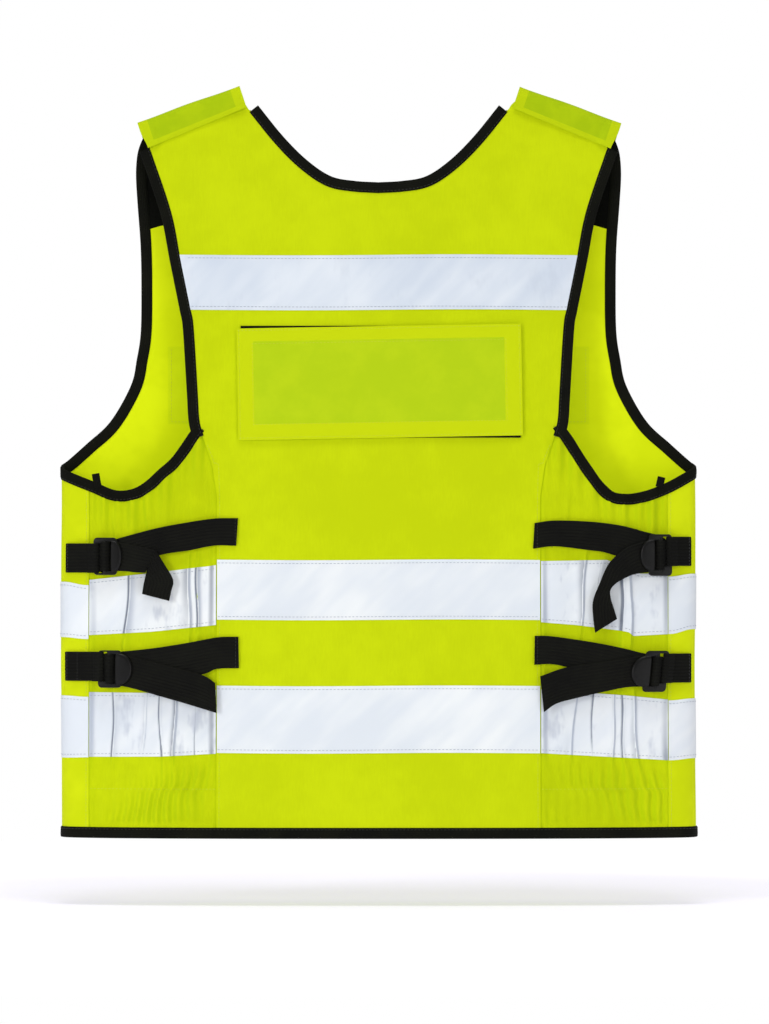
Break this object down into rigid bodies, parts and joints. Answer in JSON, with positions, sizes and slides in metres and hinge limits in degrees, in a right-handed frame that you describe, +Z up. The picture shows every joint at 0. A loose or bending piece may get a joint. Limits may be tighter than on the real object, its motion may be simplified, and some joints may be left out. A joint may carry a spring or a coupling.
{
  "type": "high-visibility vest",
  "caption": "Sleeveless high-visibility vest with reflective bands, black edge binding, zipped front, side adjuster straps and a removable back identification panel.",
  "frame": {"origin": "hanger seat: the point midway between the shoulders, at the height of the shoulder fold by the neck", "axes": "+Z up, -Y the wearer's back, +X the wearer's right"},
  "size_m": [0.5338, 0.0758, 0.6202],
  "materials": {
    "yellow_cloth": "woven fluorescent polyester",
    "id_panel_cloth": "double layer of fluorescent polyester",
    "reflective_tape": "glass-bead reflective tape",
    "black_binding": "folded woven binding tape",
    "black_yoke_cloth": "brushed loop cloth",
    "webbing": "ribbed woven webbing",
    "elastic": "woven elastic",
    "hook_and_loop": "hook and loop tape",
    "zip_tape": "zip tape with moulded teeth",
    "zip_metal": "black painted die casting",
    "buckle_plastic": "moulded acetal"
  },
  "bodies": {
    "vest": {"back_panel": "yellow_cloth", "back_hem_band": "reflective_tape", "back_waist_band": "reflective_tape", "back_chest_band": "reflective_tape", "back_neck_binding": "black_binding", "side_panel_left": "yellow_cloth", "hem_elastic_left": "elastic", "side_hem_band_left": "reflective_tape", "side_waist_band_left": "reflective_tape", "front_side_left": "yellow_cloth", "front_hem_band_left": "reflective_tape", "front_waist_band_left": "reflective_tape", "chest_pocket_left": "yellow_cloth", "front_yoke_left": "black_yoke_cloth", "back_arm_binding_left": "black_binding", "front_arm_binding_left": "black_binding", "shoulder_strap_left": "yellow_cloth", "side_panel_right": "yellow_cloth", "hem_elastic_right": "elastic", "side_hem_band_right": "reflective_tape", "side_waist_band_right": "reflective_tape", "front_side_right": "yellow_cloth", "front_hem_band_right": "reflective_tape", "front_waist_band_right": "reflective_tape", "chest_pocket_right": "yellow_cloth", "front_yoke_right": "black_yoke_cloth", "back_arm_binding_right": "black_binding", "front_arm_binding_right": "black_binding", "shoulder_strap_right": "yellow_cloth", "hem_binding": "black_binding", "id_loop_field": "hook_and_loop", "strap_upper_left": "webbing", "strap_anchor_upper_left": "webbing", "strap_lower_left": "webbing", "strap_anchor_lower_left": "webbing", "strap_upper_right": "webbing", "strap_anchor_upper_right": "webbing", "strap_lower_right": "webbing", "strap_anchor_lower_right": "webbing"},
    "leaf_left": {"front_leaf_left": "yellow_cloth", "leaf_hem_band_left": "reflective_tape", "leaf_waist_band_left": "reflective_tape", "leaf_binding_left": "black_binding", "zip_left": "zip_tape"},
    "flap_left": {"shoulder_flap_left": "yellow_cloth", "flap_hook_patch_left": "hook_and_loop"},
    "leaf_right": {"front_leaf_right": "yellow_cloth", "leaf_hem_band_right": "reflective_tape", "leaf_waist_band_right": "reflective_tape", "leaf_binding_right": "black_binding", "zip_right": "zip_tape"},
    "flap_right": {"shoulder_flap_right": "yellow_cloth", "flap_hook_patch_right": "hook_and_loop"},
    "buckle_upper_left": {"buckle_upper_left": "buckle_plastic"},
    "buckle_lower_left": {"buckle_lower_left": "buckle_plastic"},
    "buckle_upper_right": {"buckle_upper_right": "buckle_plastic"},
    "buckle_lower_right": {"buckle_lower_right": "buckle_plastic"},
    "id_panel": {"id_panel": "id_panel_cloth"},
    "zip_slider": {"zip_slider": "zip_metal"},
    "zip_pull": {"zip_pull": "zip_metal"}
  },
  "joints": [
    {"name": "front_left_open", "type": "hinge", "parent": "vest", "child": "leaf_left", "pos_m": [-0.12178, 0.02225, -0.339], "axis": [0.0288, -0.0476, 0.9984], "range_deg": [0, 120]},
    {"name": "flap_left_peel", "type": "hinge", "parent": "vest", "child": "flap_left", "pos_m": [-0.15969, 0.0091, -0.02042], "axis": [0.9496, 0, 0.3134], "range_deg": [0, 160]},
    {"name": "front_right_open", "type": "hinge", "parent": "vest", "child": "leaf_right", "pos_m": [0.12178, 0.02225, -0.339], "axis": [0.0288, 0.0476, -0.9984], "range_deg": [0, 120]},
    {"name": "flap_right_peel", "type": "hinge", "parent": "vest", "child": "flap_right", "pos_m": [0.15969, 0.0091, -0.02042], "axis": [0.9496, 0, -0.3134], "range_deg": [0, 160]},
    {"name": "buckle_upper_left_tilt", "type": "hinge", "parent": "vest", "child": "buckle_upper_left", "pos_m": [-0.23646, -0.02012, -0.389], "axis": [0, 0, -1], "range_deg": [0, 40]},
    {"name": "buckle_lower_left_tilt", "type": "hinge", "parent": "vest", "child": "buckle_lower_left", "pos_m": [-0.23257, -0.02389, -0.483], "axis": [0, 0, -1], "range_deg": [0, 40]},
    {"name": "buckle_upper_right_tilt", "type": "hinge", "parent": "vest", "child": "buckle_upper_right", "pos_m": [0.24361, -0.01875, -0.388], "axis": [0, 0, 1], "range_deg": [0, 40]},
    {"name": "buckle_lower_right_tilt", "type": "hinge", "parent": "vest", "child": "buckle_lower_right", "pos_m": [0.23973, -0.02249, -0.485], "axis": [0, 0, 1], "range_deg": [0, 40]},
    {"name": "id_panel_peel", "type": "hinge", "parent": "vest", "child": "id_panel", "pos_m": [0.00018, -0.01729, -0.19677], "axis": [-0.9998, -0.0009, -0.0174], "range_deg": [0, 150]},
    {"name": "zip_slide", "type": "slide", "parent": "leaf_right", "child": "zip_slider", "axis": [0, 0.0512, -0.9987], "range_m": [0, 0.385]},
    {"name": "zip_pull_swing", "type": "hinge", "parent": "zip_slider", "child": "zip_pull", "pos_m": [0.0028, 0.01968, -0.20035], "axis": [1, 0, 0], "range_deg": [0, 160]}
  ]
}
